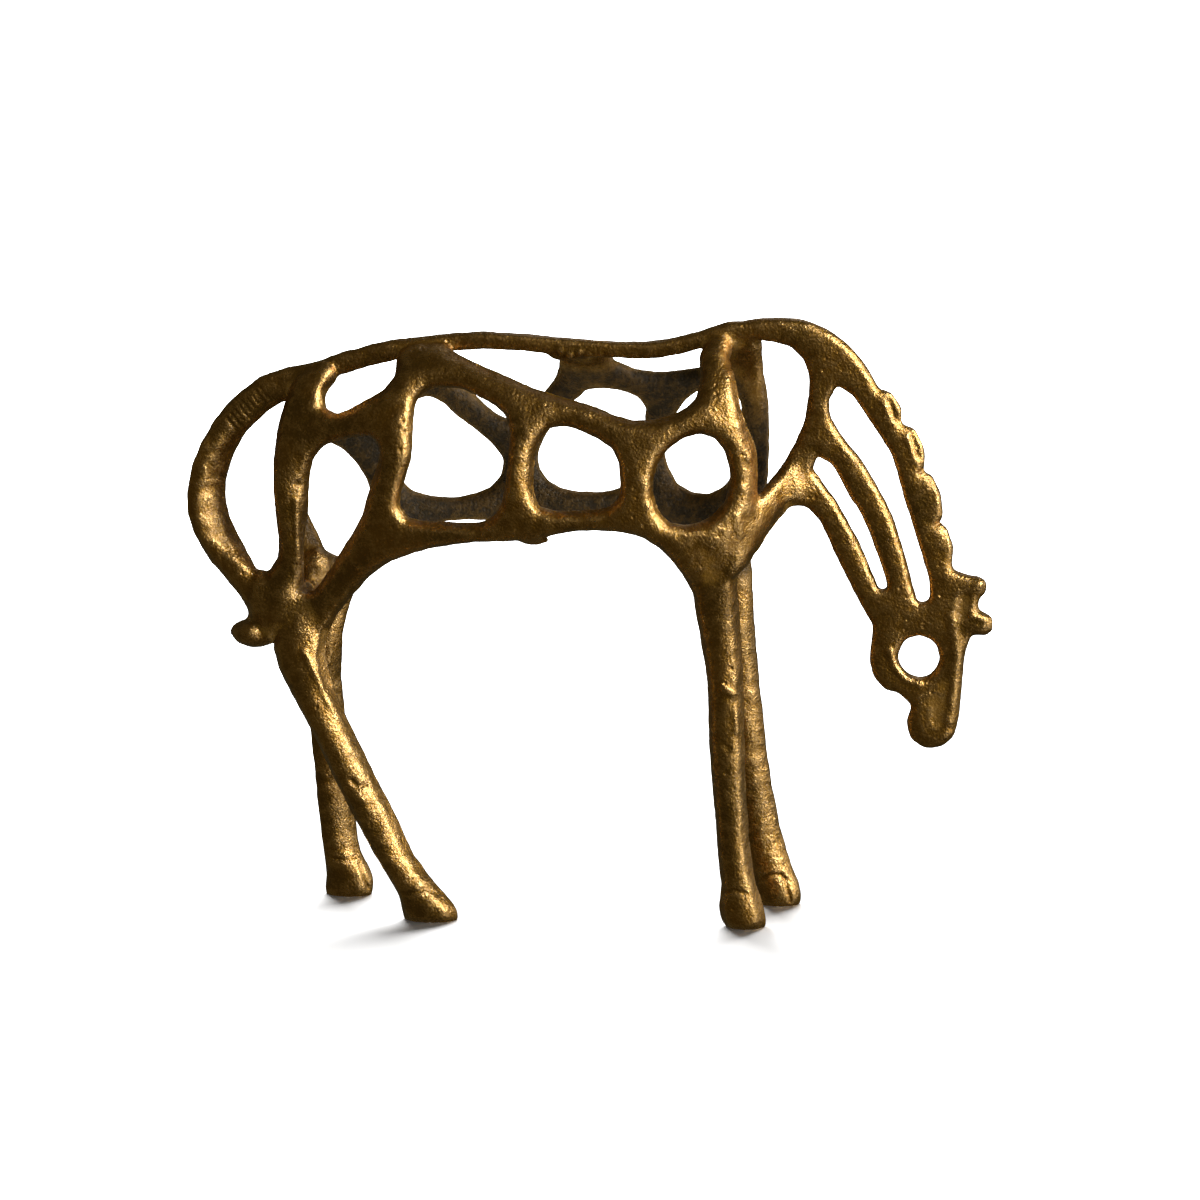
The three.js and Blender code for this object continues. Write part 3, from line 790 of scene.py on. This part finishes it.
@dataclass
class Casting:
    """The horse: one brass casting, from the rounded blank to the finished surface.

    A range holds the values between which something sets in or dies away.
    """

    merge_distance: float = 0.001 * MM
    voxel: float = 0.72 * MM
    rounding: float = 0.5
    rounding_at_soles: float = 0.12
    rounding_passes: int = 26
    doming_passes: int = 110
    refill_passes: int = 40
    swell: float = 0.3 * MM
    crisp_sole: tuple[float, float] = (1.5 * MM, 9.0 * MM)
    dome_height: float = 3.0 * MM
    dome_passes: int = 55
    dome_full: float = 0.9
    dome_edge_passes: int = 4
    wall_range: tuple[float, float] = (3.0 * MM, 7.0 * MM)
    facing_range: tuple[float, float] = (0.25, 0.75)
    outer_range: tuple[float, float] = (-0.2, 0.5)
    twists: tuple[Twist, ...] = (
        Twist("tail", (-0.170, -0.1285), (-0.010, 0.0074), (0.138, 0.200), 0.016, 0.55),
        Twist("thigh post", (-0.1235, -0.1085), (-0.042, -0.004), (0.146, 0.189), 0.016, 0.35),
        Twist("rib post", (-0.0345, -0.0165), (-0.042, -0.010), (0.170, 0.200), 0.012, 0.35),
        Twist("far fore leg", (0.040, 0.090), (0.004, 0.042), (0.004, 0.135), 0.022, 0.2),
        Twist("far hind leg", (-0.125, -0.080), (0.007, 0.042), (0.004, 0.110), 0.022, 0.4),
        Twist("near hind leg", (-0.125, -0.045), (-0.042, -0.007), (0.004, 0.100), 0.022, 0.2),
    )
    twist_step: float = 2.0 * MM
    widest_turn: float = 8.0 * MM
    turn_edge: float = 3.0 * MM
    bow_height: float = 4.4 * MM
    bow_middle: float = 0.060
    bow_width: float = 0.014
    bow_foot: tuple[float, float] = (0.126, 0.150)
    bow_top: tuple[float, float] = (0.214, 0.232)
    bow_depth: tuple[float, float] = (6.0 * MM, 12.0 * MM)
    smooth_sole: tuple[float, float] = (0.4 * MM, 3.0 * MM)
    most_triangles: int = 196_000
    sole_height: float = 0.35 * MM
    crest_passes: int = 15
    crest_reach: int = 30
    crest_height: float = 0.10 * MM
    most_crest: float = 1.5
    hollow_passes: int = 45
    hollow_depth: tuple[float, float] = (-0.20 * MM, 0.40 * MM)
    # The next four ranges pick the walls' inner faces, which the material paints darker as shade.
    inward_range: tuple[float, float] = (0.1, 0.8)
    body_floor: tuple[float, float] = (0.128, 0.144)
    body_front: tuple[float, float] = (0.084, 0.0952)
    off_middle: tuple[float, float] = (5.0 * MM, 9.0 * MM)
    blend_passes: int = 4
    relief: CastRelief = field(default_factory=CastRelief)
    tooling: Tooling = field(default_factory=Tooling)
    finish: AntiqueBrass = field(default_factory=AntiqueBrass)

    def build(self, solid: bpy.types.Object) -> bpy.types.Object:
        """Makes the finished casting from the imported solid.

        Args:
            solid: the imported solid, which is only read.

        Returns:
            The casting's object, at the origin.
        """
        material = self.finish.make()
        casting = self.blank(solid)
        skin = Skin(casting.data)
        lowest, highest = skin.points.min(axis=0), skin.points.max(axis=0)
        self.round_off(skin)
        self.dome(skin)
        self.twist(skin)
        self.bow(skin)
        self.tool(skin)
        skin.store_value("worked", self.freedom(skin))
        skin.store()
        mesh = self.relief.apply(casting, material)
        mesh.calc_loop_triangles()
        log.info("worked surface: %d triangles", len(mesh.loop_triangles))
        thinner = casting.modifiers.new("thinner", "DECIMATE")
        thinner.ratio = min(1.0, self.most_triangles / len(mesh.loop_triangles))
        mesh = settled(casting)
        skin = Skin(mesh)
        self.set_down(skin, lowest, highest)
        self.weather(skin)
        skin.store()
        mesh.attributes.remove(mesh.attributes["worked"])
        mesh.shade_smooth()
        return casting

    def blank(self, solid: bpy.types.Object) -> bpy.types.Object:
        """Copies the solid as one closed mesh of small even faces.

        Args:
            solid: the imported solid.

        Returns:
            The new object.
        """
        mesh = solid.data.copy()
        work = bmesh.new()
        work.from_mesh(mesh)
        bmesh.ops.remove_doubles(work, verts=work.verts, dist=self.merge_distance)
        work.to_mesh(mesh)
        work.free()
        mesh.materials.clear()
        casting = bpy.data.objects.new("brass_horse", mesh)
        bpy.context.scene.collection.objects.link(casting)
        remesh = casting.modifiers.new("even", "REMESH")
        remesh.mode = "VOXEL"
        remesh.voxel_size = self.voxel
        settled(casting)
        return casting

    def round_off(self, skin: Skin) -> None:
        """Melts facets and creases together, and gives convex stretches their thickness back.

        Args:
            skin: the casting's points.
        """
        start = skin.points
        more = self.rounding - self.rounding_at_soles
        share = self.rounding_at_soles + more * ramp(start[:, 2], *self.crisp_sole)
        even = skin.smoothed(start, self.rounding_passes, share)
        even[:, 1] = skin.smoothed(even[:, 1], self.doming_passes, share)
        skin.points = even
        normals = skin.normals()
        lost = np.einsum("ij,ij->i", start - skin.points, normals)
        lost = np.clip(skin.smoothed(lost, self.refill_passes), 0.0, None) + self.swell
        skin.points = skin.points + normals * lost[:, None]

    def dome(self, skin: Skin) -> None:
        """Rounds the outer faces of the walls from strand to strand, by sinking their edges.

        Args:
            skin: the casting's points.
        """
        across = skin.points[:, 1]
        side = np.sign(across)
        outward = skin.normals()[:, 1] * side
        on_wall = ramp(np.abs(across), *self.wall_range)
        facing = ramp(outward, *self.facing_range) * on_wall
        middle = np.clip(skin.smoothed(facing, self.dome_passes) / self.dome_full, 0.0, 1.0)
        outer = ramp(outward, *self.outer_range) * on_wall
        sunk = self.dome_height * (1.0 - middle) * skin.smoothed(outer, self.dome_edge_passes)
        skin.points[:, 1] -= side * sunk

    def twist(self, skin: Skin) -> None:
        """Turns the broad sides of the tail, two posts and three legs a little towards the head.

        Args:
            skin: the casting's points.
        """
        x, y, z = skin.points.T.copy()
        for twist in self.twists:
            low, high = twist.z_range
            chosen = (x > twist.x_range[0]) & (x < twist.x_range[1]) & (z > low) & (z < high)
            chosen &= (y > twist.y_range[0]) & (y < twist.y_range[1])
            steps = np.arange(low, high, self.twist_step)
            middles = [np.median(x[chosen & (np.abs(z - step) < self.twist_step)]) for step in steps]
            offset = np.clip(x - np.interp(z, steps, middles), -self.widest_turn, self.widest_turn)
            strength = ramp(z, low, low + twist.fade) * (1.0 - ramp(z, high - twist.fade, high))
            strength *= 1.0 - ramp(x, twist.x_range[1] - self.turn_edge, twist.x_range[1])
            skin.points[:, 1] += np.where(chosen, twist.amount * offset * strength, 0.0)

    def bow(self, skin: Skin) -> None:
        """Bows the near shoulder outwards, so that its post faces the near side.

        Args:
            skin: the casting's points.
        """
        x, y, z = skin.points.T.copy()
        strength = ramp(z, *self.bow_foot) * (1.0 - ramp(z, *self.bow_top)) * ramp(-y, *self.bow_depth)
        away = (x - self.bow_middle) / self.bow_width
        skin.points[:, 1] -= self.bow_height * strength * np.exp(-(away ** 2))

    def tool(self, skin: Skin) -> None:
        """Cuts and raises the hand-made marks.

        Args:
            skin: the casting's points.
        """
        self.tooling.mark_all()
        self.tooling.work(skin)
        log.info("tool marks: %d", len(self.tooling.marks))

    def freedom(self, skin: Skin) -> np.ndarray:
        """Says how much of the relief each point takes: none on the soles, all of it above.

        Args:
            skin: the casting's points.

        Returns:
            A number from 0 to 1 for each point.
        """
        return ramp(skin.points[:, 2], *self.smooth_sole)

    def set_down(self, skin: Skin, lowest: np.ndarray, highest: np.ndarray) -> None:
        """Flattens the soles on the floor and keeps every point in the solid's own box.

        Args:
            skin: the casting's points.
            lowest: the box's lowest corner.
            highest: the box's highest corner.
        """
        skin.points = np.clip(skin.points, lowest, highest)
        heights = skin.points[:, 2]
        heights[heights < self.sole_height] = 0.0

    def weather(self, skin: Skin) -> None:
        """Stores what hands rub and what is painted dark: crests, hollows with their dark patina, and the
        walls' inner faces, which are painted darker as shade.

        Args:
            skin: the casting's points.
        """
        fine = skin.depth(self.crest_passes)
        crest = (skin.smoothed(fine, self.crest_reach) - fine) / self.crest_height
        broad = skin.smoothed(skin.depth(self.hollow_passes), self.blend_passes)
        x, y, z = skin.points.T
        # The walls' inner faces, which the material paints darker as shade.
        shaded_inside = ramp(-skin.normals()[:, 1] * np.sign(y), *self.inward_range)
        shaded_inside *= ramp(z, *self.body_floor)
        shaded_inside *= 1.0 - ramp(x, *self.body_front)
        shaded_inside *= ramp(np.abs(y), *self.off_middle)
        skin.store_value("crest", np.clip(crest, -self.most_crest, self.most_crest))
        skin.store_value("hollow", ramp(broad, *self.hollow_depth))
        skin.store_value("shaded_inside", skin.smoothed(shaded_inside, self.blend_passes))


@dataclass(frozen=True)
class Lamp:
    """A soft box, placed by its direction from the horse.

    Attributes:
        name: its name.
        azimuth: its direction in degrees, from the near side towards the head.
        elevation: its height above the horse in degrees.
        distance: how far it hangs from the camera's aim.
        width: its width.
        height: its height.
        power: its power in watts.
        colour: the colour of its light.
        mirrored: whether the metal mirrors it. Such a lamp lights the casting, and any other the floor.
    """

    name: str
    azimuth: float
    elevation: float
    distance: float
    width: float
    height: float
    power: float
    colour: tuple[float, float, float] = (1.0, 0.98, 0.95)
    mirrored: bool = True


@dataclass
class Studio:
    """The camera, the pale floor and the soft light."""

    azimuth: float = math.radians(5.0)
    elevation: float = math.radians(11.5)
    distance: float = 2.0
    aim: tuple[float, float, float] = (0.00419, 0.0, 0.1277)
    view_width: float = 0.477
    sensor: float = 36.0
    floor_reach: float = 30.0
    floor_colour: tuple[float, float, float] = (0.93, 0.93, 0.925)
    floor_roughness: float = 0.9
    floor_glow: float = 1.1
    glow_reach: tuple[float, float] = (0.11, 0.26)
    surroundings: tuple[float, float, float] = (0.046, 0.038, 0.018)
    fill: tuple[float, float, float] = (0.10, 0.10, 0.098)
    backdrop: tuple[float, float, float] = (1.0, 1.0, 1.0)
    lamps: tuple[Lamp, ...] = (
        Lamp("key", 66.0, 28.0, 1.6, 0.55, 1.0, 20.5),
        Lamp("low", 62.0, -14.0, 1.6, 0.6, 0.9, 2.5),
        Lamp("front", 28.0, 30.0, 1.8, 1.2, 1.0, 1.3),
        Lamp("side", 108.0, 8.0, 1.6, 0.7, 1.0, 2.2),
        Lamp("back", 168.0, 38.0, 1.6, 0.8, 0.8, 1.0),
        Lamp("sky", 183.0, 36.0, 2.4, 2.4, 1.2, 210.0, colour=(1.0, 1.0, 1.0), mirrored=False),
    )

    def direction(self, azimuth: float, elevation: float) -> Vector:
        """Gives the direction from the horse towards an azimuth and elevation in radians."""
        flat = math.cos(elevation)
        return Vector((math.sin(azimuth) * flat, -math.cos(azimuth) * flat, math.sin(elevation)))

    def build(self) -> None:
        """Sets up everything around the horse."""
        self.camera()
        self.floor()
        for lamp in self.lamps:
            self.lamp(lamp)
        self.air()
        view = bpy.context.scene.view_settings
        view.view_transform = "Standard"
        view.look = "None"

    def camera(self) -> None:
        """Places the camera."""
        data = bpy.data.cameras.new("camera")
        data.sensor_width = self.sensor
        data.lens = self.sensor * self.distance / self.view_width
        camera = bpy.data.objects.new("camera", data)
        bpy.context.scene.collection.objects.link(camera)
        away = self.direction(self.azimuth, self.elevation)
        camera.location = Vector(self.aim) + away * self.distance
        camera.rotation_euler = away.to_track_quat("Z", "Y").to_euler()
        bpy.context.scene.camera = camera

    def floor(self) -> None:
        """Lays the floor, which glows away from the horse so that it stays pale far from the lamps."""
        work = bmesh.new()
        bmesh.ops.create_grid(work, x_segments=1, y_segments=1, size=self.floor_reach)
        mesh = bpy.data.meshes.new("floor")
        work.to_mesh(mesh)
        work.free()
        floor = bpy.data.objects.new("floor", mesh)
        bpy.context.scene.collection.objects.link(floor)
        material = bpy.data.materials.new("pale_floor")
        material.use_nodes = True
        board = Board(material.node_tree)
        place = board.node("ShaderNodeTexCoord").outputs["Object"]
        away = board.node("ShaderNodeVectorMath", {0: place}, operation="LENGTH").outputs["Value"]
        shader = board.node("ShaderNodeBsdfPrincipled", {
            "Base Color": rgba(self.floor_colour),
            "Roughness": self.floor_roughness,
            "Specular IOR Level": 0.0,
            "Emission Color": rgba(self.floor_colour),
            "Emission Strength": board.between(away, *self.glow_reach, 0.0, self.floor_glow),
        })
        board.node("ShaderNodeOutputMaterial", {"Surface": shader.outputs[0]})
        mesh.materials.append(material)
        floor.visible_glossy = False
        floor.visible_shadow = False

    def lamp(self, lamp: Lamp) -> None:
        """Hangs one soft box, turned to the horse.

        Args:
            lamp: its place, size and power.
        """
        data = bpy.data.lights.new(lamp.name, "AREA")
        data.shape = "RECTANGLE"
        data.size = lamp.width
        data.size_y = lamp.height
        data.energy = lamp.power
        data.color = lamp.colour
        box = bpy.data.objects.new(lamp.name, data)
        bpy.context.scene.collection.objects.link(box)
        away = self.direction(math.radians(lamp.azimuth), math.radians(lamp.elevation))
        box.location = Vector(self.aim) + away * lamp.distance
        box.rotation_euler = away.to_track_quat("Z", "Y").to_euler()
        box.visible_glossy = lamp.mirrored
        box.visible_camera = False

    def share_light(self, casting: bpy.types.Object) -> None:
        """Gives the floor the lamp behind, for one soft shadow, and the casting all the other lamps.

        Args:
            casting: the casting's object.
        """
        on_casting = bpy.data.collections.new("lit_casting")
        on_casting.objects.link(casting)
        on_floor = bpy.data.collections.new("lit_floor")
        on_floor.objects.link(bpy.data.objects["floor"])
        for lamp in self.lamps:
            linking = bpy.data.objects[lamp.name].light_linking
            linking.receiver_collection = on_casting if lamp.mirrored else on_floor

    def air(self) -> None:
        """Fills the surroundings: pale to look at, dim where the metal mirrors them."""
        world = bpy.data.worlds.new("surroundings")
        world.use_nodes = True
        bpy.context.scene.world = world
        board = Board(world.node_tree)
        rays = board.node("ShaderNodeLightPath").outputs
        light = board.colours(rays["Is Glossy Ray"], rgba(self.fill), rgba(self.surroundings))
        colour = board.colours(rays["Is Camera Ray"], light, rgba(self.backdrop))
        shader = board.node("ShaderNodeBackground", {"Color": colour, "Strength": 1.0})
        board.node("ShaderNodeOutputWorld", {"Surface": shader.outputs[0]})


def main() -> None:
    """Builds the studio and the casting, and reports each piece."""
    logging.basicConfig(level=logging.INFO, format="%(name)s: %(message)s")
    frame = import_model()
    studio = Studio()
    studio.build()
    casting = Casting().build(frame["nodes"][NODE])
    studio.share_light(casting)
    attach(casting, BODY)
    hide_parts(NODE)
    log.info("%s: %d triangles", casting.name, len(casting.data.polygons))


if __name__ == "__main__":
    main()
